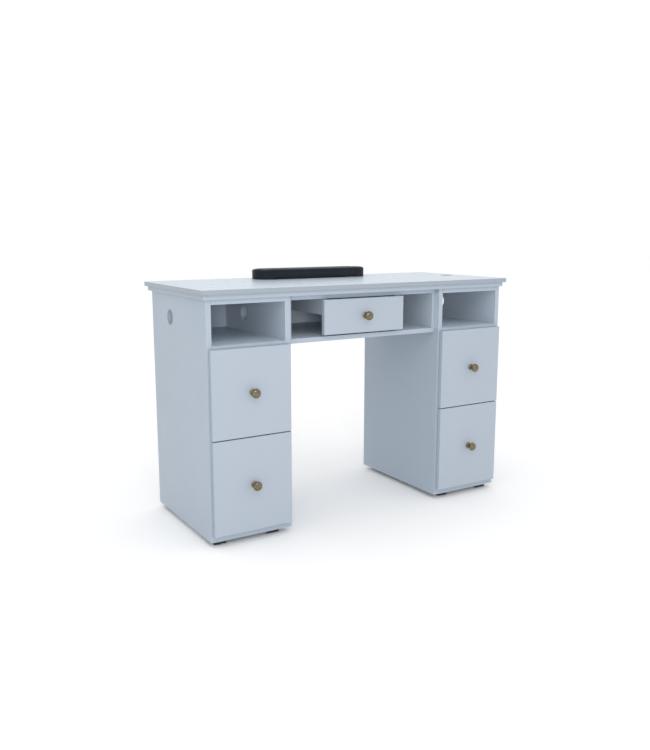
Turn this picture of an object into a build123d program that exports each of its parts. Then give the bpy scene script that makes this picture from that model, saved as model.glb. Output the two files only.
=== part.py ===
from build123d import *
import os

# Manicure table: a stone-look worktop on a cornice board, two drawer pedestals with an open niche
# at the top, and a shelf unit between them with one shallow drawer. All sizes are in millimetres.
# The frame: X runs to the technician's right, -Y towards the technician, +Z up, and the origin is
# on the floor under the middle of the whole object, knobs included.

# ---- driving dimensions ----------------------------------------------------------------------
WORKTOP_WIDTH = 1200.0
WORKTOP_DEPTH = 500.0
TABLE_HEIGHT = 800.0
WORKTOP_CORNER = 3.0             # plan radius of the worktop's and the cornice's corners
BOARD = 15.0                     # worktop, cornice, shelves, backs and the centre unit
SIDE_BOARD = 18.0                # pedestal sides and bottoms
CORNICE_INSET = 9.0              # cornice board behind the worktop's edge, all round
PEDESTAL_INSET = 18.0            # pedestal behind the worktop's edge, at the end and the front
PEDESTAL_BACK_INSET = 25.0
PEDESTAL_WIDTH = 284.0
NICHE_HEIGHT = 123.0             # clear height of the open niches
EDGE_EASE = 1.0                  # rounding of the boards' front edges

FOOT_HEIGHT = 17.0
FOOT_SIZE = 42.0
FOOT_END_INSET = 18.0            # foot behind the pedestal's outer face
FOOT_INNER_INSET = 37.0          # foot behind the pedestal's inner face
FOOT_FRONT_INSET = 20.0          # foot behind the pedestal's front and back faces
FOOT_CORNER = 4.0
FOOT_SOLE_CHAMFER = 1.5
FOOT_SCREW_WELL = 5.0            # radius of the well that hides the screw head

FRONT_THICKNESS = 16.0           # drawer fronts
FRONT_CLEARANCE = 1.5            # bumper gap between a front and the carcass
FRONT_SIDE_INSET = 7.0           # front narrower than its pedestal, each side
FRONT_EASE = 2.0
FRONT_GAP = 3.0                  # between the two fronts of a pedestal, and under the lower one
NICHE_FLOOR_LIP = 9.5            # niche floor's edge left showing above the upper front
UPPER_FRONT_HEIGHT = 278.5

CENTRE_RECESS = 19.0             # centre unit behind the pedestals' front edges
CENTRE_DEPTH = 403.0
CENTRE_FRONT_WIDTH = 316.0
CENTRE_FRONT_HEIGHT = 114.5
CENTRE_FRONT_TOP_GAP = 2.5       # below the centre top board
CENTRE_DRAWER_X = -13.0          # the centre drawer sits a little left of the middle

BOX_WALL = 12.0                  # drawer box boards
BOX_BOTTOM = 5.0
BOX_BOTTOM_UP = 8.0              # bottom panel above the walls' lower edge
GROOVE_DEPTH = 5.0
GROOVE_PLAY = 0.2
PEDESTAL_BOX_HEIGHT = 220.0
PEDESTAL_BOX_LENGTH = 400.0
TRAY_HEIGHT = 45.0               # the centre drawer's shallow box
TRAY_LENGTH = 350.0
TRAY_WIDTH = 250.0
TRAY_TOP_GAP = 8.0
HANGER_HEIGHT = 53.0             # rails that carry the tray's slides, as deep as the tray

SLIDE_WIDTH = 12.7               # a three-part ball-bearing slide, side to side
SLIDE_HEIGHT = 45.0
TRAY_SLIDE_HEIGHT = 27.0
SLIDE_METAL = 1.2
SLIDE_SETBACK = 2.0              # slides start behind the carcass's front edge
SLIDE_CABINET_TIP = 9.5          # how far the members reach from the wall
SLIDE_MIDDLE_WEB = 2.6
SLIDE_MIDDLE_TIP = 10.6
SLIDE_DRAWER_TIP = 4.6
SLIDE_STEP = 7.0                 # each member is this much lower than the one around it

CABLE_HOLE_RADIUS = 25.0
SIDE_HOLE_DEPTH = 311.0          # side holes behind the worktop's front edge
RIGHT_END_HOLE_DEPTH = 333.0     # the hole in the right outer side sits further back
SIDE_HOLE_HEIGHT = 694.0
WORKTOP_HOLE_X = 533.0
WORKTOP_HOLE_DEPTH = 260.0

KNOB_LENGTH = 34.0
KNOB_HEAD_RADIUS = 15.0
KNOB_BASE_RADIUS = 11.0
SCREW_RADIUS = 2.0
SCREW_HEAD_RADIUS = 4.0
BOX_SCREW_RADIUS = 1.75
BOX_SCREW_HEAD_RADIUS = 3.5
BOX_SCREW_HEAD = 2.0
BOX_SCREW_IN_FRONT = 11.0        # how far the box screws reach into a front
KNOB_SCREW_HEAD = 2.4
KNOB_SCREW_IN_KNOB = 11.0
SCREW_PLAY = 0.2                 # radial play of a screw or dowel in its hole
DOWEL_RADIUS = 4.0
DOWEL_LENGTH = 30.0
JOINING_DOWEL_LENGTH = 22.0      # between the centre unit's ends and the pedestals

CUSHION_WIDTH = 464.0            # an oblong pad with round ends
CUSHION_DEPTH = 110.0
CUSHION_HEIGHT = 36.0
CUSHION_X = 3.0
CUSHION_BACK_INSET = 35.0        # cushion in front of the worktop's back edge
CUSHION_LIFT = 0.3               # hair gap that keeps it clear of the worktop
CUSHION_TOP_ROUND = 7.0
CUSHION_BASE_ROUND = 3.0

# ---- planes worked out from the driving dimensions -------------------------------------------
DRAWER_FRONT_Y = PEDESTAL_INSET - FRONT_CLEARANCE - FRONT_THICKNESS
KNOB_REACH = KNOB_LENGTH - DRAWER_FRONT_Y          # knob tip in front of the worktop's edge
FRONT = (KNOB_REACH - WORKTOP_DEPTH) / 2           # the worktop's front edge
BACK = FRONT + WORKTOP_DEPTH
CARCASS_FRONT = FRONT + PEDESTAL_INSET
CARCASS_BACK = BACK - PEDESTAL_BACK_INSET
CENTRE_FRONT = CARCASS_FRONT + CENTRE_RECESS
CENTRE_BACK = CENTRE_FRONT + CENTRE_DEPTH

CORNICE_TOP = TABLE_HEIGHT - BOARD
CARCASS_TOP = CORNICE_TOP - BOARD
NICHE_CEILING = CARCASS_TOP - BOARD
NICHE_FLOOR = NICHE_CEILING - NICHE_HEIGHT
CARCASS_BOTTOM = FOOT_HEIGHT
BOTTOM_TOP = CARCASS_BOTTOM + SIDE_BOARD

OUTER_X = WORKTOP_WIDTH / 2 - PEDESTAL_INSET
INNER_X = OUTER_X - PEDESTAL_WIDTH
CENTRE_CLEAR_X = INNER_X - BOARD                   # inner face of the centre unit's ends
PEDESTAL_MID_X = (OUTER_X + INNER_X) / 2
PEDESTAL_CLEAR_WIDTH = PEDESTAL_WIDTH - 2 * SIDE_BOARD

UPPER_FRONT_TOP = NICHE_FLOOR - NICHE_FLOOR_LIP
UPPER_FRONT_BOTTOM = UPPER_FRONT_TOP - UPPER_FRONT_HEIGHT
LOWER_FRONT_TOP = UPPER_FRONT_BOTTOM - FRONT_GAP
LOWER_FRONT_BOTTOM = BOTTOM_TOP + FRONT_GAP
CENTRE_FRONT_TOP = NICHE_CEILING - CENTRE_FRONT_TOP_GAP


def block(x0, x1, y0, y1, z0, z1):
    """A plain board between two corners."""
    middle = ((x0 + x1) / 2, (y0 + y1) / 2, (z0 + z1) / 2)
    return Pos(*middle) * Box(x1 - x0, y1 - y0, z1 - z0)


def eased_block(x0, x1, y0, y1, z0, z1, radius=EDGE_EASE):
    """A board whose front face has rounded edges."""
    board = block(x0, x1, y0, y1, z0, z1)
    front_face = board.faces().sort_by(Axis.Y)[0]
    return fillet(front_face.edges(), radius)


def rod(start, direction, radius, length):
    """A cylinder from start, along a unit direction."""
    plane = Plane(origin=start, z_dir=direction)
    return extrude(plane * Circle(radius), length)


def mirrored(shape):
    """The same piece on the other side of the table."""
    return mirror(shape, about=Plane.YZ)


nodes = {}


# ---- worktop and cornice board ---------------------------------------------------------------
def top_slab(inset, corner, z0, z1):
    """A slab with rounded plan corners, set in from the worktop's outline."""
    width = WORKTOP_WIDTH - 2 * inset
    depth = WORKTOP_DEPTH - 2 * inset
    outline = RectangleRounded(width, depth, corner)
    slab = Pos(0, (FRONT + BACK) / 2, z0) * extrude(outline, z1 - z0)
    rims = slab.faces().sort_by(Axis.Z)
    slab = fillet(rims[-1].edges() + rims[0].edges(), EDGE_EASE)
    return slab - worktop_hole()


def worktop_hole():
    start = (WORKTOP_HOLE_X, FRONT + WORKTOP_HOLE_DEPTH, NICHE_CEILING - 1)
    return rod(start, (0, 0, 1), CABLE_HOLE_RADIUS, TABLE_HEIGHT - NICHE_CEILING + 2)


# ---- fasteners: each list holds the solids, and the function drills the holes ------------------
# A dowel's place is (start, direction, length).
dowels = []


def add_dowels(places):
    for start, direction, length in places:
        dowels.append(rod(start, direction, DOWEL_RADIUS, length))


def drill_dowels(board, places):
    """Cuts the dowel holes that fall in one board."""
    for start, direction, length in places:
        origin = Vector(*start) - Vector(*direction) * 0.5
        board -= rod(origin, direction, DOWEL_RADIUS + SCREW_PLAY, length + 1)
    return board


def screw(start, direction, length, head_radius, head_height, shank=SCREW_RADIUS):
    """A screw whose head ends at start and whose shank runs on along direction."""
    behind = Vector(*start) - Vector(*direction) * head_height
    head = rod(behind, direction, head_radius, head_height)
    return head + rod(start, direction, shank, length)


# ---- pedestals -------------------------------------------------------------------------------
DOWEL_ROWS = (CARCASS_FRONT + 60, CARCASS_BACK - 60)
DOWEL_IN_SIDE = 11.0
CENTRE_DOWEL_IN_END = 8.0


def shelf_dowels(x_face, outward, levels, rows=DOWEL_ROWS, in_side=DOWEL_IN_SIDE):
    """Dowel places that join shelves to the side whose inner face is at x_face."""
    places = []
    for level in levels:
        for row in rows:
            start = (x_face + outward * in_side, row, level)
            places.append((start, (-outward, 0, 0), DOWEL_LENGTH))
    return places


SHELF_LEVELS = (CARCASS_TOP - BOARD / 2, NICHE_FLOOR - BOARD / 2, CARCASS_BOTTOM + SIDE_BOARD / 2)
CENTRE_LEVELS = (CARCASS_TOP - BOARD / 2, NICHE_FLOOR - BOARD / 2)
CENTRE_ROWS = (CENTRE_FRONT + 60, CENTRE_BACK - 75)
JOINING_ROWS = (CENTRE_FRONT + 90, CENTRE_BACK - 105)
JOINING_LEVELS = (NICHE_CEILING - 25, NICHE_FLOOR + 25)


def side_hole(x0, x1, depth=SIDE_HOLE_DEPTH):
    """The round cable hole through upright boards between x0 and x1."""
    start = (x0 - 1, FRONT + depth, SIDE_HOLE_HEIGHT)
    return rod(start, (1, 0, 0), CABLE_HOLE_RADIUS, x1 - x0 + 2)


def joining_dowels():
    """Dowels that tie the centre unit's end to the right pedestal's inner side."""
    places = []
    for row in JOINING_ROWS:
        for level in JOINING_LEVELS:
            start = (INNER_X + DOWEL_IN_SIDE, row, level)
            places.append((start, (-1, 0, 0), JOINING_DOWEL_LENGTH))
    return places


def pedestal():
    """The right pedestal's six boards, by name; the left one is its mirror image."""
    inner_face = INNER_X + SIDE_BOARD
    outer_face = OUTER_X - SIDE_BOARD
    outer_dowels = shelf_dowels(outer_face, 1, SHELF_LEVELS)
    inner_dowels = shelf_dowels(inner_face, -1, SHELF_LEVELS)
    shelf_places = outer_dowels + inner_dowels

    outer = eased_block(outer_face, OUTER_X, CARCASS_FRONT, CARCASS_BACK, CARCASS_BOTTOM, CARCASS_TOP)
    inner = eased_block(INNER_X, inner_face, CARCASS_FRONT, CARCASS_BACK, CARCASS_BOTTOM, CARCASS_TOP)
    inner -= side_hole(INNER_X, inner_face)
    top = block(inner_face, outer_face, CARCASS_FRONT, CARCASS_BACK, NICHE_CEILING, CARCASS_TOP)
    back_face = CARCASS_BACK - BOARD
    niche_floor = block(
        inner_face, outer_face, CARCASS_FRONT, back_face, NICHE_FLOOR - BOARD, NICHE_FLOOR
    )
    bottom = block(inner_face, outer_face, CARCASS_FRONT, CARCASS_BACK, CARCASS_BOTTOM, BOTTOM_TOP)
    back = block(inner_face, outer_face, back_face, CARCASS_BACK, BOTTOM_TOP, NICHE_CEILING)

    add_dowels(shelf_places)
    return {
        "outer_side": drill_dowels(outer, outer_dowels),
        "inner_side": drill_dowels(inner, inner_dowels + joining_dowels()),
        "top": drill_dowels(top, shelf_places[:2] + shelf_places[6:8]),
        "niche_floor": drill_dowels(niche_floor, shelf_places[2:4] + shelf_places[8:10]),
        "bottom": drill_dowels(bottom, shelf_places[4:6] + shelf_places[10:]),
        "back": back,
    }


# ---- centre unit -----------------------------------------------------------------------------
def centre_unit():
    """The shelf unit that hangs between the pedestals."""
    unit_bottom = NICHE_FLOOR - BOARD
    end_places = shelf_dowels(CENTRE_CLEAR_X, 1, CENTRE_LEVELS, CENTRE_ROWS, CENTRE_DOWEL_IN_END)
    right_end = eased_block(
        CENTRE_CLEAR_X, INNER_X, CENTRE_FRONT, CENTRE_BACK, unit_bottom, CARCASS_TOP
    )
    right_end -= side_hole(CENTRE_CLEAR_X, INNER_X)
    right_end = drill_dowels(right_end, end_places + joining_dowels())

    top = block(
        -CENTRE_CLEAR_X, CENTRE_CLEAR_X, CENTRE_FRONT, CENTRE_BACK, NICHE_CEILING, CARCASS_TOP
    )
    floor = block(-CENTRE_CLEAR_X, CENTRE_CLEAR_X, CENTRE_FRONT, CENTRE_BACK, unit_bottom, NICHE_FLOOR)
    back = block(
        -CENTRE_CLEAR_X, CENTRE_CLEAR_X, CENTRE_BACK - BOARD, CENTRE_BACK, NICHE_FLOOR, NICHE_CEILING
    )
    left_places = shelf_dowels(-CENTRE_CLEAR_X, -1, CENTRE_LEVELS, CENTRE_ROWS, CENTRE_DOWEL_IN_END)
    add_dowels(end_places + joining_dowels())
    top = drill_dowels(top, end_places[:2] + left_places[:2])
    floor = drill_dowels(floor, end_places[2:] + left_places[2:])
    return {
        "centre_ends": [right_end, mirrored(right_end)],
        "centre_top": [top],
        "centre_floor": [floor],
        "centre_back": [back],
    }


# ---- worktop screws: up through a carcass top and the cornice into the worktop ------------------
WORKTOP_SCREW_LENGTH = 36.0
WORKTOP_SCREW_HEAD = 3.0


def worktop_screw_places():
    places = []
    for x in (INNER_X + 60, OUTER_X - 110):
        for y in (CARCASS_FRONT + 40, CARCASS_BACK - 90):
            places += [(x, y), (-x, y)]
    for x in (-220, 220):
        places.append((x, CENTRE_BACK - 60))
    return places


def screw_up(x, y):
    start = (x, y, NICHE_CEILING + WORKTOP_SCREW_HEAD)
    return screw(start, (0, 0, 1), WORKTOP_SCREW_LENGTH, SCREW_HEAD_RADIUS, WORKTOP_SCREW_HEAD)


def drill_screws_up(board, low, high):
    """Cuts the worktop screws' holes in a board that covers heights low to high."""
    for x, y in worktop_screw_places():
        base = NICHE_CEILING - 0.5
        length = WORKTOP_SCREW_LENGTH + WORKTOP_SCREW_HEAD + 1
        shank = rod((x, y, base), (0, 0, 1), SCREW_RADIUS + SCREW_PLAY, length)
        head_hole = SCREW_HEAD_RADIUS + SCREW_PLAY
        head = rod((x, y, base), (0, 0, 1), head_hole, WORKTOP_SCREW_HEAD + 0.5)
        inside = low < base + length and high > base
        if inside:
            board -= shank
            board -= head
    return board


# ---- feet ------------------------------------------------------------------------------------
FOOT_SCREW_HEAD_Z = 10.0
FOOT_SCREW_LENGTH = 20.0
FOOT_SCREW_HEAD = 2.5


def foot_places():
    """Middles of the eight feet."""
    half = FOOT_SIZE / 2
    places = []
    for x in (OUTER_X - FOOT_END_INSET - half, INNER_X + FOOT_INNER_INSET + half):
        for y in (CARCASS_FRONT + FOOT_FRONT_INSET + half, CARCASS_BACK - FOOT_FRONT_INSET - half):
            places += [(x, y), (-x, y)]
    return places


def foot(x, y):
    """A square black pad with a sunk screw hole and a softened sole."""
    half = FOOT_SIZE / 2
    pad = block(x - half, x + half, y - half, y + half, 0, FOOT_HEIGHT)
    pad = fillet(pad.edges().filter_by(Axis.Z), FOOT_CORNER)
    pad = chamfer(pad.faces().sort_by(Axis.Z)[0].edges(), FOOT_SOLE_CHAMFER)
    pad -= rod((x, y, -1), (0, 0, 1), FOOT_SCREW_WELL, FOOT_SCREW_HEAD_Z + 1)
    return pad - rod((x, y, 0), (0, 0, 1), SCREW_RADIUS + SCREW_PLAY, FOOT_HEIGHT + 1)


def foot_screw(x, y):
    start = (x, y, FOOT_SCREW_HEAD_Z)
    return screw(start, (0, 0, 1), FOOT_SCREW_LENGTH, SCREW_HEAD_RADIUS, FOOT_SCREW_HEAD)


def drill_foot_screws(board):
    for x, y in foot_places():
        board -= rod((x, y, CARCASS_BOTTOM - 1), (0, 0, 1), SCREW_RADIUS + SCREW_PLAY, 15)
    return board


# ---- drawer slides ---------------------------------------------------------------------------
def channel(x_web, x_tip, y0, length, z_mid, height):
    """A C-shaped rail: its web at x_web, its two flanges reaching to x_tip."""
    side = 1 if x_tip > x_web else -1
    half = height / 2
    web = block(*sorted((x_web, x_web + side * SLIDE_METAL)), y0, y0 + length, z_mid - half, z_mid + half)
    low, high = sorted((x_web, x_tip))
    upper = block(low, high, y0, y0 + length, z_mid + half - SLIDE_METAL, z_mid + half)
    lower = block(low, high, y0, y0 + length, z_mid - half, z_mid - half + SLIDE_METAL)
    return web + upper + lower


def slide(x_wall, side, y0, length, z_mid, height):
    """Cabinet, middle and drawer members of one slide on the wall at x_wall.

    side is +1 where the drawer lies towards +X from the wall, and -1 where it lies towards -X.
    """
    cabinet = channel(x_wall, x_wall + side * SLIDE_CABINET_TIP, y0, length, z_mid, height)
    web = x_wall + side * SLIDE_MIDDLE_WEB
    tip = x_wall + side * SLIDE_MIDDLE_TIP
    middle = channel(web, tip, y0, length, z_mid, height - SLIDE_STEP)
    box_face = x_wall + side * SLIDE_WIDTH
    tip = x_wall + side * SLIDE_DRAWER_TIP
    drawer = channel(box_face, tip, y0, length, z_mid, height - 2 * SLIDE_STEP)
    return cabinet, middle, drawer


# ---- drawers ---------------------------------------------------------------------------------
def box_frame(x_mid, width, y0, length, z0, height, knob_z, screw_places):
    """The four walls of a drawer box, grooved for the bottom panel."""
    left = x_mid - width / 2
    right = x_mid + width / 2
    y1 = y0 + length
    z1 = z0 + height
    inner_left = left + BOX_WALL
    inner_right = right - BOX_WALL
    walls = [
        block(left, inner_left, y0, y1, z0, z1),
        block(inner_right, right, y0, y1, z0, z1),
        block(inner_left, inner_right, y0, y0 + BOX_WALL, z0, z1),
        block(inner_left, inner_right, y1 - BOX_WALL, y1, z0, z1),
    ]
    groove = block(
        inner_left - GROOVE_DEPTH - GROOVE_PLAY,
        inner_right + GROOVE_DEPTH + GROOVE_PLAY,
        y0 + BOX_WALL - GROOVE_DEPTH - GROOVE_PLAY,
        y1 - BOX_WALL + GROOVE_DEPTH + GROOVE_PLAY,
        z0 + BOX_BOTTOM_UP,
        z0 + BOX_BOTTOM_UP + BOX_BOTTOM + GROOVE_PLAY,
    )
    walls = [wall - groove for wall in walls]
    for x, z in screw_places:
        walls[2] -= rod((x, y0 - 1, z), (0, 1, 0), BOX_SCREW_RADIUS + SCREW_PLAY, BOX_WALL + 2)
    if z0 < knob_z < z1:
        walls[2] -= rod((x_mid, y0 - 1, knob_z), (0, 1, 0), SCREW_RADIUS + SCREW_PLAY, BOX_WALL + 2)
    return walls


def box_bottom(x_mid, width, y0, length, z0):
    """The thin bottom panel that slides into the groove."""
    half = width / 2 - BOX_WALL + GROOVE_DEPTH
    back = y0 + length - BOX_WALL + GROOVE_DEPTH
    return block(
        x_mid - half,
        x_mid + half,
        y0 + BOX_WALL - GROOVE_DEPTH,
        back,
        z0 + BOX_BOTTOM_UP,
        z0 + BOX_BOTTOM_UP + BOX_BOTTOM,
    )


def drawer_front(x_mid, width, y_face, z0, z1, screw_places):
    """The overlay front, eased all round its face and drilled for its knob and box screws."""
    half = width / 2
    panel = eased_block(
        x_mid - half, x_mid + half, y_face, y_face + FRONT_THICKNESS, z0, z1, FRONT_EASE
    )
    knob_z = (z0 + z1) / 2
    panel -= rod((x_mid, y_face - 1, knob_z), (0, 1, 0), SCREW_RADIUS + SCREW_PLAY, FRONT_THICKNESS + 2)
    for x, z in screw_places:
        start = (x, y_face + FRONT_THICKNESS + 1, z)
        panel -= rod(start, (0, -1, 0), BOX_SCREW_RADIUS + SCREW_PLAY, BOX_SCREW_IN_FRONT + 2)
    return panel


def knob(x, y_face, z):
    """A turned brass knob: flat rosette, waisted neck and a round domed head."""
    rosette_edge = (KNOB_BASE_RADIUS - 1.2, 3.0)
    head_back = (KNOB_HEAD_RADIUS - 1.6, 21.0)
    rim_middle = (KNOB_HEAD_RADIUS, 24.5)
    head_front = (KNOB_HEAD_RADIUS - 0.7, 27.5)
    tip = (0, KNOB_LENGTH)
    crown = KNOB_LENGTH - head_front[1]
    dome_radius = (head_front[0] ** 2 + crown**2) / (2 * crown)
    mid_x = head_front[0] / 2
    mid_z = KNOB_LENGTH - dome_radius + (dome_radius**2 - mid_x**2) ** 0.5

    rosette = Polyline((0, 0), (KNOB_BASE_RADIUS, 0), (KNOB_BASE_RADIUS, 1.8), rosette_edge)
    neck = Spline(rosette_edge, (6.6, 7.5), (6.3, 12.0), (9.0, 17.8), head_back)
    rim = ThreePointArc(head_back, rim_middle, head_front)
    dome = ThreePointArc(head_front, (mid_x, mid_z), tip)
    stretches = (rosette, neck, rim, dome, Line(tip, (0, 0)))
    outline = Wire([edge for stretch in stretches for edge in stretch.edges()])
    turned = revolve(Plane.XZ * Face(outline), Axis.Z)
    turned -= Pos(0, 0, 6) * Cylinder(SCREW_RADIUS + SCREW_PLAY, 14)
    return Pos(x, y_face, z) * (Rot(90, 0, 0) * turned)


def drawer(name, x_mid, front_width, y_face, z0, z1, box, slide_height, wall_gap):
    """One drawer: every piece of it, and the members of its two slides."""
    box_width, box_length, box_z0, box_height = box
    knob_z = (z0 + z1) / 2
    box_y0 = y_face + FRONT_THICKNESS
    box_z1 = box_z0 + box_height
    reach = box_width / 2 - BOX_WALL - 25
    rise = min(15.0, box_height / 4)
    screw_places = [
        (x_mid + sx * reach, z)
        for sx in (-1, 1)
        for z in (box_z0 + BOX_BOTTOM_UP + BOX_BOTTOM + rise, box_z1 - rise)
    ]
    nodes[f"{name}_front"] = [drawer_front(x_mid, front_width, y_face, z0, z1, screw_places)]
    nodes[f"{name}_box_walls"] = box_frame(
        x_mid, box_width, box_y0, box_length, box_z0, box_height, knob_z, screw_places
    )
    nodes[f"{name}_box_bottom"] = [box_bottom(x_mid, box_width, box_y0, box_length, box_z0)]
    nodes[f"{name}_knob"] = [knob(x_mid, y_face, knob_z)]

    behind = box_y0
    if box_z0 < knob_z < box_z1:
        behind = box_y0 + BOX_WALL
    knob_screw_length = behind - y_face + KNOB_SCREW_IN_KNOB
    knob_screw = screw(
        (x_mid, behind, knob_z), (0, -1, 0), knob_screw_length, SCREW_HEAD_RADIUS, KNOB_SCREW_HEAD
    )
    box_screws = [
        screw(
            (x, box_y0 + BOX_WALL, z),
            (0, -1, 0),
            BOX_WALL + BOX_SCREW_IN_FRONT,
            BOX_SCREW_HEAD_RADIUS,
            BOX_SCREW_HEAD,
            BOX_SCREW_RADIUS,
        )
        for x, z in screw_places
    ]
    nodes[f"{name}_screws"] = [knob_screw] + box_screws

    slide_y0 = box_y0 + FRONT_CLEARANCE + SLIDE_SETBACK
    slide_z = box_z0 + box_height / 2
    left = slide(x_mid - wall_gap, 1, slide_y0, box_length - 6, slide_z, slide_height)
    right = slide(x_mid + wall_gap, -1, slide_y0, box_length - 6, slide_z, slide_height)
    cabinet_rails.extend([left[0], right[0]])
    nodes[f"{name}_slide_middles"] = [left[1], right[1]]
    nodes[f"{name}_slide_rails"] = [left[2], right[2]]


cabinet_rails = []
pedestal_face = CARCASS_FRONT - FRONT_CLEARANCE - FRONT_THICKNESS
pedestal_front_width = PEDESTAL_WIDTH - 2 * FRONT_SIDE_INSET
pedestal_box_width = PEDESTAL_CLEAR_WIDTH - 2 * SLIDE_WIDTH
upper_box_z0 = NICHE_FLOOR - BOARD - 30 - PEDESTAL_BOX_HEIGHT
lower_box_z0 = BOTTOM_TOP + 30
for side_name, side_x in (("left", -PEDESTAL_MID_X), ("right", PEDESTAL_MID_X)):
    for level_name, z0, z1, box_z0 in (
        ("upper", UPPER_FRONT_BOTTOM, UPPER_FRONT_TOP, upper_box_z0),
        ("lower", LOWER_FRONT_BOTTOM, LOWER_FRONT_TOP, lower_box_z0),
    ):
        drawer(
            f"{side_name}_{level_name}_drawer",
            side_x,
            pedestal_front_width,
            pedestal_face,
            z0,
            z1,
            (pedestal_box_width, PEDESTAL_BOX_LENGTH, box_z0, PEDESTAL_BOX_HEIGHT),
            SLIDE_HEIGHT,
            PEDESTAL_CLEAR_WIDTH / 2,
        )

tray_z0 = NICHE_CEILING - TRAY_TOP_GAP - TRAY_HEIGHT
tray_wall_gap = TRAY_WIDTH / 2 + SLIDE_WIDTH
drawer(
    "centre_drawer",
    CENTRE_DRAWER_X,
    CENTRE_FRONT_WIDTH,
    CENTRE_FRONT - FRONT_CLEARANCE - FRONT_THICKNESS,
    CENTRE_FRONT_TOP - CENTRE_FRONT_HEIGHT,
    CENTRE_FRONT_TOP,
    (TRAY_WIDTH, TRAY_LENGTH, tray_z0, TRAY_HEIGHT),
    TRAY_SLIDE_HEIGHT,
    tray_wall_gap,
)
nodes["cabinet_slide_rails"] = cabinet_rails

# ---- hanger rails that carry the centre drawer's slides under the centre top --------------------
hanger_y0 = CENTRE_FRONT + 1
hanger_y1 = hanger_y0 + TRAY_LENGTH
hanger_rails = []
hanger_dowel_places = []
for x0 in (CENTRE_DRAWER_X - tray_wall_gap - BOARD, CENTRE_DRAWER_X + tray_wall_gap):
    rail_places = [
        ((x0 + BOARD / 2, y, NICHE_CEILING - 14), (0, 0, 1), JOINING_DOWEL_LENGTH)
        for y in (hanger_y0 + 50, hanger_y1 - 50)
    ]
    rail = block(x0, x0 + BOARD, hanger_y0, hanger_y1, NICHE_CEILING - HANGER_HEIGHT, NICHE_CEILING)
    hanger_rails.append(drill_dowels(rail, rail_places))
    hanger_dowel_places += rail_places
nodes["hanger_rails"] = hanger_rails

# ---- carcass ---------------------------------------------------------------------------------
right_boards = pedestal()
for board_name, board in right_boards.items():
    left_board = mirrored(board)
    if board_name == "outer_side":
        board -= side_hole(OUTER_X - SIDE_BOARD, OUTER_X, RIGHT_END_HOLE_DEPTH)
        left_board -= side_hole(-OUTER_X, SIDE_BOARD - OUTER_X)
    if board_name == "top":
        board = drill_screws_up(board, NICHE_CEILING, CARCASS_TOP) - worktop_hole()
        left_board = drill_screws_up(left_board, NICHE_CEILING, CARCASS_TOP)
    if board_name == "bottom":
        board = drill_foot_screws(board)
        left_board = drill_foot_screws(left_board)
    nodes[f"right_{board_name}"] = [board]
    nodes[f"left_{board_name}"] = [left_board]
for board_name, boards in centre_unit().items():
    nodes[board_name] = boards
centre_top = drill_screws_up(nodes["centre_top"][0], NICHE_CEILING, CARCASS_TOP)
nodes["centre_top"] = [drill_dowels(centre_top, hanger_dowel_places)]
dowels += [mirrored(dowel) for dowel in dowels]
add_dowels(hanger_dowel_places)
nodes["dowels"] = dowels

worktop = top_slab(0, WORKTOP_CORNER, CORNICE_TOP, TABLE_HEIGHT)
cornice = top_slab(CORNICE_INSET, WORKTOP_CORNER, CARCASS_TOP, CORNICE_TOP)
nodes["worktop"] = [drill_screws_up(worktop, CORNICE_TOP, TABLE_HEIGHT)]
nodes["cornice_board"] = [drill_screws_up(cornice, CARCASS_TOP, CORNICE_TOP)]
nodes["worktop_screws"] = [screw_up(x, y) for x, y in worktop_screw_places()]
nodes["feet"] = [foot(x, y) for x, y in foot_places()]
nodes["foot_screws"] = [foot_screw(x, y) for x, y in foot_places()]

# ---- armrest cushion ---------------------------------------------------------------------------
cushion_y1 = BACK - CUSHION_BACK_INSET
cushion_z0 = TABLE_HEIGHT + CUSHION_LIFT
cushion_outline = SlotOverall(CUSHION_WIDTH, CUSHION_DEPTH)
cushion = extrude(cushion_outline, CUSHION_HEIGHT)
cushion = fillet(cushion.faces().sort_by(Axis.Z)[-1].edges(), CUSHION_TOP_ROUND)
cushion = fillet(cushion.faces().sort_by(Axis.Z)[0].edges(), CUSHION_BASE_ROUND)
nodes["armrest_cushion"] = [
    Pos(CUSHION_X, cushion_y1 - CUSHION_DEPTH / 2, cushion_z0) * cushion
]

# ---- write one STEP file per node --------------------------------------------------------------
os.makedirs("parts", exist_ok=True)
for name, pieces in nodes.items():
    solids = [solid for piece in pieces for solid in piece.solids()]
    export_step(Compound(children=solids), f"parts/{name}.step")
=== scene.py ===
import bpy
import bmesh
import math
from mathutils import Matrix, Vector


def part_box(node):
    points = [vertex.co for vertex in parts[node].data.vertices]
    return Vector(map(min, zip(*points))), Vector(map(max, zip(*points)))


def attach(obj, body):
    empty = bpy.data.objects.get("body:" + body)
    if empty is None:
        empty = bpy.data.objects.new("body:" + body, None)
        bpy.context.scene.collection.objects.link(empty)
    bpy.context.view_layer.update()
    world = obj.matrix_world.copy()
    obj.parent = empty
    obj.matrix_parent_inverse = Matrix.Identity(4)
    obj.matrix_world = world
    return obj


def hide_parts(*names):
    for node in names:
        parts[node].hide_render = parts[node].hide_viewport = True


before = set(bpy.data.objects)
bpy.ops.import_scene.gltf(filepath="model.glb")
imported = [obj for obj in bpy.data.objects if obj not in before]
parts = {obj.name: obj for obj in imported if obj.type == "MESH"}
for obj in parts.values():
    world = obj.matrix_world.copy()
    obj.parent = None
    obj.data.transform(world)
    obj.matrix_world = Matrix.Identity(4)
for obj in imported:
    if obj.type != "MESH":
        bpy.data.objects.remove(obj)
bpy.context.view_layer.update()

# ---- Carcass boards ------------------------------------------------------------------------------
# The pedestals and the centre unit are MDF boards sprayed with a cool white satin lacquer, edges
# included, and glued on dowels. The faces inside the niches carry painted light, a paler colour
# that
# lifts their shade: on the real table the lacquer is most likely the same inside and out.
LACQUER = (0.347, 0.401, 0.468)
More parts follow.
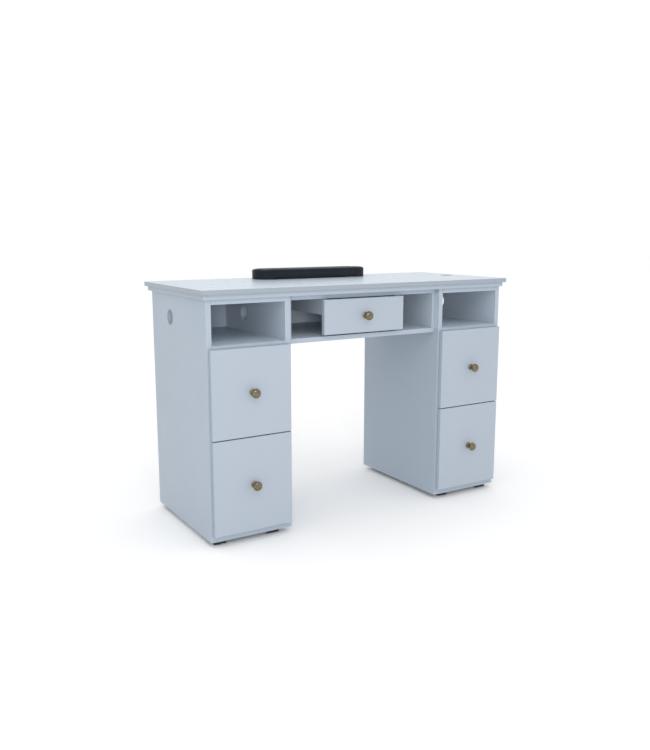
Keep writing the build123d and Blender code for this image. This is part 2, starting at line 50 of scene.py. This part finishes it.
LACQUER_SHADE = (0.341, 0.395, 0.462)
# Paler colours painted into the niches as painted light: one for walls and ceilings, a paler one
# for the shelves.
NICHE_PAINTED_LIGHT = (0.440, 0.503, 0.572)
SHELF_PAINTED_LIGHT = (0.560, 0.635, 0.715)
PAINTED_LIGHT_OVERLAP = 0.0005      # the painted light reaches this far into the faces around a niche
PAINTED_LIGHT_FRONT = 0.003         # strip left without painted light behind the boards' front edges
PAINTED_LIGHT_BACK = 0.001          # strip left without painted light in front of the pedestals' rear faces
PEDESTAL_SHELVES = ["left_niche_floor", "right_niche_floor"]
PEDESTAL_BOARDS = [f"{side}_{board}" for side in ("left", "right")
                   for board in ("outer_side", "inner_side", "top", "bottom", "back")]
CENTRE_BOARDS = ["centre_ends", "centre_top", "centre_back"]


def finish(name, colour, roughness, metallic=0.0):
    """A new material with one shader: the material, its node tree and the shader."""
    material = bpy.data.materials.new(name)
    material.use_nodes = True
    shader = material.node_tree.nodes["Principled BSDF"]
    shader.inputs["Base Color"].default_value = (*colour, 1)
    shader.inputs["Roughness"].default_value = roughness
    shader.inputs["Metallic"].default_value = metallic
    return material, material.node_tree, shader


def mottle(tree, scale, detail=2.0, distortion=0.0, stretch=(1, 1, 1)):
    """Soft noise through the piece, with about scale spots to the metre."""
    place = tree.nodes.new("ShaderNodeTexCoord")
    mapping = tree.nodes.new("ShaderNodeMapping")
    mapping.inputs["Scale"].default_value = stretch
    noise = tree.nodes.new("ShaderNodeTexNoise")
    noise.inputs["Scale"].default_value = scale
    noise.inputs["Detail"].default_value = detail
    noise.inputs["Distortion"].default_value = distortion
    tree.links.new(place.outputs["Object"], mapping.inputs["Vector"])
    tree.links.new(mapping.outputs["Vector"], noise.inputs["Vector"])
    return noise.outputs["Fac"]


def shades(tree, factor, *stops):
    """A colour ramp over factor; each stop is (position, colour)."""
    ramp = tree.nodes.new("ShaderNodeValToRGB")
    while len(ramp.color_ramp.elements) < len(stops):
        ramp.color_ramp.elements.new(0.5)
    for element, (position, colour) in zip(ramp.color_ramp.elements, stops):
        element.position = position
        element.color = (*colour, 1)
    tree.links.new(factor, ramp.inputs["Fac"])
    return ramp.outputs["Color"]


def between(tree, factor, low, high):
    """factor's middle range spread over low to high."""
    spread = tree.nodes.new("ShaderNodeMapRange")
    spread.inputs["From Min"].default_value = 0.3
    spread.inputs["From Max"].default_value = 0.7
    spread.inputs["To Min"].default_value = low
    spread.inputs["To Max"].default_value = high
    tree.links.new(factor, spread.inputs["Value"])
    return spread.outputs["Result"]


def relief(tree, shader, height, depth):
    """Surface relief, depth metres from its lowest to its highest point."""
    bump = tree.nodes.new("ShaderNodeBump")
    bump.inputs["Distance"].default_value = depth
    tree.links.new(height, bump.inputs["Height"])
    tree.links.new(bump.outputs["Normal"], shader.inputs["Normal"])


def mixed(tree, factor, under, over):
    """The colour under, turning into over as factor goes from 0 to 1."""
    mix = tree.nodes.new("ShaderNodeMix")
    mix.data_type = "RGBA"
    under_socket, over_socket = mix.inputs[6], mix.inputs[7]
    for socket, colour in ((under_socket, under), (over_socket, over)):
        if isinstance(colour, tuple):
            socket.default_value = (*colour, 1)
        else:
            tree.links.new(colour, socket)
    tree.links.new(factor, mix.inputs[0])
    return mix.outputs[2]


def dress(material, *names):
    """Gives CAD nodes a material."""
    for name in names:
        for place in parts[name].material_slots:
            place.material = material


def satin_lacquer(name, light, shade):
    material, tree, shader = finish(name, light, 0.4)
    drift = mottle(tree, 2.5, detail=3)
    tree.links.new(shades(tree, drift, (0.35, shade), (0.65, light)), shader.inputs["Base Color"])
    tree.links.new(between(tree, mottle(tree, 9, detail=3), 0.36, 0.44), shader.inputs["Roughness"])
    relief(tree, shader, mottle(tree, 420, detail=2), 0.000012)
    shader.inputs["Specular IOR Level"].default_value = 0.25
    return material


def inside(tree, axis, start, end):
    """1 where the piece's own coordinate lies from start to end, otherwise 0."""
    place = tree.nodes.new("ShaderNodeTexCoord")
    axes = tree.nodes.new("ShaderNodeSeparateXYZ")
    within = tree.nodes.new("ShaderNodeMath")
    within.operation = "COMPARE"
    within.inputs[1].default_value = (start + end) / 2
    within.inputs[2].default_value = (end - start) / 2
    tree.links.new(place.outputs["Object"], axes.inputs["Vector"])
    tree.links.new(axes.outputs[axis], within.inputs[0])
    return within.outputs[0]


def lacquer_with_niche_painted_light(name, painted_light, front):
    """The carcass lacquer, with painted light on all faces between the niches' bounds, behind
    front.

    The bounds are the pedestals', and the centre unit is shallower, so its outer back face and the
    strips of the pedestals' inner sides beside it take the painted light as well.
    """
    material = satin_lacquer(name, LACQUER, LACQUER_SHADE)
    tree = material.node_tree
    shader = tree.nodes["Principled BSDF"]
    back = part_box("left_back")[1][1]
    low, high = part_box("left_back")[0][0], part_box("right_back")[1][0]
    floor_z, ceiling_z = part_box("left_niche_floor")[1][2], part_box("left_top")[0][2]
    masks = (
        inside(tree, "X", low - PAINTED_LIGHT_OVERLAP, high + PAINTED_LIGHT_OVERLAP),
        inside(tree, "Y", front + PAINTED_LIGHT_FRONT, back - PAINTED_LIGHT_BACK),
        inside(tree, "Z", floor_z - PAINTED_LIGHT_OVERLAP, ceiling_z + PAINTED_LIGHT_OVERLAP),
    )
    painted_light_mask = masks[0]
    for mask in masks[1:]:
        both = tree.nodes.new("ShaderNodeMath")
        both.operation = "MULTIPLY"
        tree.links.new(painted_light_mask, both.inputs[0])
        tree.links.new(mask, both.inputs[1])
        painted_light_mask = both.outputs[0]
    lacquer = shader.inputs["Base Color"].links[0].from_socket
    # Painted light: the faces inside the mask take the paler colour.
    tree.links.new(mixed(tree, painted_light_mask, lacquer, painted_light), shader.inputs["Base Color"])
    return material


pedestal_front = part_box("left_top")[0][1]
centre_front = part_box("centre_top")[0][1]
# Each board gets the lacquer, with painted light on its faces inside the niches.
dress(lacquer_with_niche_painted_light("pedestal_lacquer_niche_painted_light", NICHE_PAINTED_LIGHT, pedestal_front), *PEDESTAL_BOARDS)
dress(lacquer_with_niche_painted_light("pedestal_shelf_painted_light", SHELF_PAINTED_LIGHT, pedestal_front), *PEDESTAL_SHELVES)
dress(lacquer_with_niche_painted_light("centre_lacquer_niche_painted_light", NICHE_PAINTED_LIGHT, centre_front), *CENTRE_BOARDS)
dress(lacquer_with_niche_painted_light("centre_shelf_painted_light", SHELF_PAINTED_LIGHT, centre_front), "centre_floor")

# ---- Worktop and cornice board -------------------------------------------------------------------
# The worktop is a board faced with pale laminate that has a faint grey marble vein. Its edges are
# painted a little darker than its top, as painted shade. The cornice board under it is lacquered.
# Both are screwed on from below.
STONE = (0.484, 0.570, 0.664)
STONE_CLOUD = (0.470, 0.556, 0.650)
VEIN = (0.410, 0.480, 0.560)
EDGE_PAINTED_SHADE = (0.283, 0.320, 0.362)
PAINTED_SHADE_DEPTHS = (0.0009, 0.0003)   # the edges' painted shade gives way to the top's colour between these


def marble_laminate():
    material, tree, shader = finish("worktop_marble_laminate", STONE, 0.22)
    drift = mottle(tree, 3.2, detail=2, distortion=0.6)
    cloud = shades(tree, drift, (0.35, STONE_CLOUD), (0.62, STONE))
    vein = shades(
        tree,
        mottle(tree, 1.7, detail=1.5, distortion=0.4, stretch=(1.0, 1.7, 1.0)),
        (0.430, (0, 0, 0)),
        (0.490, (0.24, 0.24, 0.24)),
        (0.530, (0, 0, 0)),
        (0.600, (0, 0, 0)),
        (0.625, (0.12, 0.12, 0.12)),
        (0.650, (0, 0, 0)),
    )
    veined = mixed(tree, vein, cloud, VEIN)
    place = tree.nodes.new("ShaderNodeTexCoord")
    height = tree.nodes.new("ShaderNodeSeparateXYZ")
    tree.links.new(place.outputs["Object"], height.inputs["Vector"])
    face = tree.nodes.new("ShaderNodeMapRange")
    face_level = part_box("worktop")[1][2]
    face.inputs["From Min"].default_value = face_level - PAINTED_SHADE_DEPTHS[0]
    face.inputs["From Max"].default_value = face_level - PAINTED_SHADE_DEPTHS[1]
    tree.links.new(height.outputs["Z"], face.inputs["Value"])
    # Painted shade: the edges below the top face take the darker colour.
    edges_painted_shade = mixed(tree, face.outputs["Result"], EDGE_PAINTED_SHADE, veined)
    tree.links.new(edges_painted_shade, shader.inputs["Base Color"])
    gloss = between(tree, mottle(tree, 14, detail=2), 0.27, 0.30)
    tree.links.new(gloss, shader.inputs["Roughness"])
    relief(tree, shader, mottle(tree, 90, detail=1), 0.000001)
    shader.inputs["Specular IOR Level"].default_value = 0.3
    return material


dress(marble_laminate(), "worktop")
dress(satin_lacquer("cornice_lacquer_satin", LACQUER, LACQUER_SHADE), "cornice_board")

# ---- Dowels and screws ---------------------------------------------------------------------------
# Beech dowels hold the boards, and zinc-plated steel screws hold the worktop, the feet, the drawer
# fronts and the knobs. Only the screw heads show, inside the drawers and under the tops.
BEECH = (0.62, 0.42, 0.24)
BEECH_DARK = (0.48, 0.30, 0.16)
ZINC = (0.62, 0.63, 0.64)


def beech():
    material, tree, shader = finish("dowel_beech", BEECH, 0.6)
    grain = mottle(tree, 60, detail=4, distortion=0.4, stretch=(0.15, 1, 1))
    colours = shades(tree, grain, (0.35, BEECH_DARK), (0.65, BEECH))
    tree.links.new(colours, shader.inputs["Base Color"])
    relief(tree, shader, grain, 0.0001)
    return material


def zinc_plate(name, roughness):
    material, tree, shader = finish(name, ZINC, roughness, metallic=1.0)
    patches = mottle(tree, 45, detail=2)
    dull = tuple(0.93 * channel for channel in ZINC)
    tree.links.new(shades(tree, patches, (0.35, dull), (0.65, ZINC)), shader.inputs["Base Color"])
    gloss = between(tree, patches, roughness - 0.03, roughness + 0.04)
    tree.links.new(gloss, shader.inputs["Roughness"])
    relief(tree, shader, mottle(tree, 300, detail=1), 0.000002)
    return material


DRAWERS = [f"{side}_{level}_drawer" for side in ("left", "right") for level in ("upper", "lower")]
DRAWERS.append("centre_drawer")
dress(beech(), "dowels")
dress(zinc_plate("screw_zinc", 0.30), "worktop_screws", "foot_screws")
dress(zinc_plate("drawer_screw_zinc", 0.30), *[f"{drawer}_screws" for drawer in DRAWERS])

# ---- Feet ----------------------------------------------------------------------------------------
# Square pads moulded in matt black plastic, one screw up the middle of each into the pedestal's
# bottom board.
PAD_BLACK = (0.013, 0.014, 0.016)


def matt_plastic():
    material, tree, shader = finish("foot_black_plastic", PAD_BLACK, 0.55)
    scuff = mottle(tree, 40, detail=4)
    worn = tuple(1.8 * channel for channel in PAD_BLACK)
    colours = shades(tree, scuff, (0.45, PAD_BLACK), (0.75, worn))
    tree.links.new(colours, shader.inputs["Base Color"])
    tree.links.new(between(tree, scuff, 0.48, 0.65), shader.inputs["Roughness"])
    relief(tree, shader, mottle(tree, 1500, detail=1), 0.00005)
    return material


dress(matt_plastic(), "feet")

# ---- Drawer slides and hanger rails --------------------------------------------------------------
# Three-part ball-bearing slides rolled from zinc-plated strip. The centre drawer's pair hangs from
# two rails under the centre top, coloured grey as painted shade so that they pass for the shadow at
# the top of the centre niches.
# Grey painted shade for the rails, with a second tone for random drift.
RAIL_PAINTED_SHADE = (0.320, 0.362, 0.405)
RAIL_PAINTED_SHADE_LOW = (0.305, 0.347, 0.390)
dress(satin_lacquer("hanger_rail_painted_shade", RAIL_PAINTED_SHADE, RAIL_PAINTED_SHADE_LOW), "hanger_rails")
dress(zinc_plate("slide_zinc", 0.36), "cabinet_slide_rails",
      *[f"{drawer}_slide_middles" for drawer in DRAWERS],
      *[f"{drawer}_slide_rails" for drawer in DRAWERS])

# ---- Drawer boxes --------------------------------------------------------------------------------
# Boxes of white melamine-faced board, with a thin bottom panel in a groove. The facing has a fine
# pressed texture.
MELAMINE = (0.600, 0.625, 0.650)
MELAMINE_SHADE = (0.560, 0.588, 0.615)


def melamine():
    material, tree, shader = finish("drawer_box_melamine", MELAMINE, 0.5)
    drift = mottle(tree, 5, detail=4)
    colours = shades(tree, drift, (0.35, MELAMINE_SHADE), (0.65, MELAMINE))
    tree.links.new(colours, shader.inputs["Base Color"])
    relief(tree, shader, mottle(tree, 600, detail=3), 0.00006)
    return material


dress(melamine(),
      *[f"{drawer}_box_walls" for drawer in DRAWERS],
      *[f"{drawer}_box_bottom" for drawer in DRAWERS])

# ---- Drawer fronts -------------------------------------------------------------------------------
# Flat fronts of the same board and lacquer as the carcass, with softened edges, screwed to their
# boxes from inside.
FRONT_LACQUER = (0.352, 0.398, 0.458)
FRONT_LACQUER_SHADE = (0.347, 0.393, 0.453)
dress(satin_lacquer("front_lacquer_satin", FRONT_LACQUER, FRONT_LACQUER_SHADE),
      *[f"{drawer}_front" for drawer in DRAWERS])

# ---- Knobs ---------------------------------------------------------------------------------------
# Turned and polished brass: a thin rosette on the front, a waisted neck and a round domed head,
# drawn up by one screw from inside the drawer.
BRASS = (0.230, 0.200, 0.130)
BRASS_DARK = (0.150, 0.122, 0.068)
KNOB_FACETS = 36
SAME_PLACE = 0.00001       # points nearer than this are merged
KNOB_PROFILE = (           # radius and height above the front
    (0.0000, 0.0000), (0.0110, 0.0000), (0.0110, 0.0013), (0.0108, 0.0019), (0.0098, 0.0029),
    (0.0076, 0.0040), (0.0066, 0.0070), (0.0063, 0.0110), (0.0068, 0.0150), (0.0088, 0.0180),
    (0.0116, 0.0198), (0.0136, 0.0213), (0.0147, 0.0230), (0.0150, 0.0246), (0.0147, 0.0264),
    (0.0138, 0.0284), (0.0116, 0.0306), (0.0084, 0.0324), (0.0044, 0.0336), (0.0000, 0.0340),
)


def polished_brass():
    material, tree, shader = finish("knob_polished_brass", BRASS, 0.26, metallic=1.0)
    tarnish = mottle(tree, 110, detail=4)
    colours = shades(tree, tarnish, (0.32, BRASS_DARK), (0.6, BRASS))
    tree.links.new(colours, shader.inputs["Base Color"])
    tree.links.new(between(tree, tarnish, 0.30, 0.22), shader.inputs["Roughness"])
    relief(tree, shader, mottle(tree, 1400, detail=2), 0.000006)
    return material


def turned_knob(name, x, face_y, z):
    shape = bmesh.new()
    profile = [shape.verts.new((radius, -height, 0)) for radius, height in KNOB_PROFILE]
    outline = [shape.edges.new(pair) for pair in zip(profile, profile[1:])]
    bmesh.ops.spin(shape, geom=profile + outline, cent=(0, 0, 0), axis=(0, 1, 0),
                   angle=2 * math.pi, steps=KNOB_FACETS, use_merge=True)
    bmesh.ops.remove_doubles(shape, verts=shape.verts, dist=SAME_PLACE)
    bmesh.ops.recalc_face_normals(shape, faces=shape.faces)
    bmesh.ops.translate(shape, verts=shape.verts, vec=(x, face_y, z))
    for face in shape.faces:
        face.smooth = True
    mesh = bpy.data.meshes.new(name)
    shape.to_mesh(mesh)
    shape.free()
    knob = bpy.data.objects.new(name, mesh)
    bpy.context.scene.collection.objects.link(knob)
    rounding = knob.modifiers.new("rounding", "SUBSURF")
    rounding.levels = 2
    rounding.render_levels = 2
    return knob


brass = polished_brass()
for drawer in DRAWERS:
    low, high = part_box(f"{drawer}_knob")
    middle_x, middle_z = (low[0] + high[0]) / 2, (low[2] + high[2]) / 2
    knob = turned_knob(f"{drawer}_turned_knob", middle_x, high[1], middle_z)
    knob.data.materials.append(brass)
    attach(knob, drawer)
    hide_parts(f"{drawer}_knob")

# ---- Armrest cushion -----------------------------------------------------------------------------
# A firm foam pad in black leatherette that lies loose on the worktop. The cover is drawn tight over
# it, so the top is slightly crowned and the corners stay round.
SWELL = 0.0012             # the most that the cover moves outwards
TOP_EDGE = 0.004
END_ROUND = 0.498          # of the pad's width, so that its ends are all but half round
END_STEPS = 12
EDGE_STEPS = 4
PAD_GRAIN = 0.003
RESTING_DEPTH = 0.003      # the cover is held fast up to this height above the worktop
COVER_PRESSURE = 4.0
COVER_STEPS = 20
COVER = (0.006, 0.010, 0.015)
COVER_WORN = (0.008, 0.012, 0.018)


def leatherette():
    material, tree, shader = finish("armrest_leatherette", COVER, 0.42)
    place = tree.nodes.new("ShaderNodeTexCoord")
    pebble = tree.nodes.new("ShaderNodeTexVoronoi")
    pebble.feature = "SMOOTH_F1"
    pebble.inputs["Scale"].default_value = 620
    pebble.inputs["Smoothness"].default_value = 0.6
    tree.links.new(place.outputs["Object"], pebble.inputs["Vector"])
    rub = mottle(tree, 22, detail=4)
    tree.links.new(shades(tree, rub, (0.4, COVER), (0.75, COVER_WORN)), shader.inputs["Base Color"])
    tree.links.new(between(tree, rub, 0.56, 0.48), shader.inputs["Roughness"])
    relief(tree, shader, pebble.outputs["Distance"], 0.00012)
    shader.inputs["Specular IOR Level"].default_value = 0.22
    return material


def foam_pad(low, high):
    """The pad's firm shape, a little smaller than the space it fills."""
    shape = bmesh.new()
    bmesh.ops.create_cube(shape, size=1.0)
    size = high - low
    bmesh.ops.scale(shape, verts=shape.verts, vec=size)
    upright = [e for e in shape.edges if abs(e.verts[0].co.z - e.verts[1].co.z) > 0.5 * size.z]
    bmesh.ops.bevel(shape, geom=upright, offset=END_ROUND * size.y, segments=END_STEPS,
                    profile=0.5, affect="EDGES", material=-1)
    rim = [e for e in shape.edges if min(v.co.z for v in e.verts) > 0.4 * size.z]
    bmesh.ops.bevel(shape, geom=rim, offset=TOP_EDGE, segments=EDGE_STEPS,
                    profile=0.5, affect="EDGES", material=-1)
    bmesh.ops.translate(shape, verts=shape.verts, vec=(low + high) / 2)
    mesh = bpy.data.meshes.new("armrest_pad")
    shape.to_mesh(mesh)
    shape.free()
    return mesh


def shown_mesh(piece):
    """The piece's mesh with its modifiers applied."""
    shown = piece.evaluated_get(bpy.context.evaluated_depsgraph_get())
    return bpy.data.meshes.new_from_object(shown)


low, high = (Vector(corner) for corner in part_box("armrest_cushion"))
firm_mesh = foam_pad(low + Vector((SWELL, SWELL, 0)), high - Vector((SWELL, SWELL, SWELL)))
pad = bpy.data.objects.new("armrest_pad", firm_mesh)
bpy.context.scene.collection.objects.link(pad)
remesh = pad.modifiers.new("remesh", "REMESH")
remesh.mode = "VOXEL"
remesh.voxel_size = PAD_GRAIN
remeshed = shown_mesh(pad)
pad.modifiers.clear()
pad.data = remeshed
before = [vertex.co.copy() for vertex in pad.data.vertices]
resting = pad.vertex_groups.new(name="resting")
held = [v.index for v in pad.data.vertices if v.co.z < low.z + RESTING_DEPTH]
resting.add(held, 1.0, "REPLACE")
cloth = pad.modifiers.new("cover", "CLOTH")
cloth.settings.use_pressure = True
cloth.settings.uniform_pressure_force = COVER_PRESSURE
cloth.settings.effector_weights.gravity = 0.0
cloth.settings.vertex_group_mass = "resting"
for step in range(1, COVER_STEPS + 1):
    bpy.context.scene.frame_set(step)
swollen = shown_mesh(pad)
pad.modifiers.clear()
pad.vertex_groups.clear()
for vertex, start in zip(swollen.vertices, before):
    move = vertex.co - start
    if move.length > SWELL:
        move = move.normalized() * SWELL
    vertex.co = start + move
    vertex.co.z = max(vertex.co.z, low.z)
pad.data = swollen
bpy.context.scene.frame_set(1)
for polygon in pad.data.polygons:
    polygon.use_smooth = True
softening = pad.modifiers.new("softening", "SUBSURF")
softening.levels = 1
softening.render_levels = 1
pad.data.materials.append(leatherette())
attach(pad, "armrest")
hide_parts("armrest_cushion")

# ---- Floor, light and camera ---------------------------------------------------------------------
# A plain white studio: an even white surround, a pale floor, a soft light from the technician's
# left and a weaker one overhead. Worktop and knobs don't mirror the first one.
FLOOR_SIZE = 60.0
STUDIO_BRIGHTNESS = 1.05
FLOOR_WHITE = (0.96, 0.96, 0.96)
KEY_LIGHT = {"place": (-2.75, -5.45, 1.10), "aim": (0, -0.1, 0.60), "size": 1.1, "power": 94}
OVERHEAD_LIGHT = {"place": (-1.3, -2.5, 2.5), "aim": (0, -0.2, 0.50), "size": 1.2, "power": 14}
shape = bmesh.new()
bmesh.ops.create_grid(shape, x_segments=1, y_segments=1, size=FLOOR_SIZE / 2)
floor_mesh = bpy.data.meshes.new("floor")
shape.to_mesh(floor_mesh)
shape.free()
floor = bpy.data.objects.new("floor", floor_mesh)
bpy.context.scene.collection.objects.link(floor)
floor_mesh.materials.append(finish("floor_white", FLOOR_WHITE, 0.9)[0])

world = bpy.data.worlds.new("studio")
world.use_nodes = True
world.node_tree.nodes["Background"].inputs["Color"].default_value = (1.0, 1.0, 1.0, 1)
world.node_tree.nodes["Background"].inputs["Strength"].default_value = STUDIO_BRIGHTNESS
bpy.context.scene.world = world
bpy.context.scene.view_settings.view_transform = "Standard"


def soft_light(name, place, aim, size, power, mirrored=True):
    """A square light; mirrored is False where glossy surfaces don't show its reflection."""
    lamp = bpy.data.lights.new(name, "AREA")
    lamp.shape = "SQUARE"
    lamp.size = size
    lamp.energy = power
    holder = bpy.data.objects.new(name, lamp)
    direction = Vector(aim) - Vector(place)
    turn = direction.to_track_quat("-Z", "Y").to_matrix().to_4x4()
    holder.matrix_world = Matrix.Translation(place) @ turn
    holder.visible_glossy = mirrored
    bpy.context.scene.collection.objects.link(holder)


soft_light("key", **KEY_LIGHT, mirrored=False)
soft_light("overhead", **OVERHEAD_LIGHT)

CAMERA_PLACE = (-1.4898, -2.3706, 0.9686)
CAMERA_TILT = 79.685
CAMERA_TURN = -31.482
LENS = 37.92
SENSOR_HEIGHT = 36.0
FARTHEST_SEEN = 200
lens = bpy.data.cameras.new("camera")
lens.sensor_fit = "VERTICAL"
lens.sensor_height = SENSOR_HEIGHT
lens.lens = LENS
lens.clip_end = FARTHEST_SEEN
camera = bpy.data.objects.new("camera", lens)
camera.location = CAMERA_PLACE
camera.rotation_euler = (math.radians(CAMERA_TILT), 0, math.radians(CAMERA_TURN))
bpy.context.scene.collection.objects.link(camera)
bpy.context.scene.camera = camera
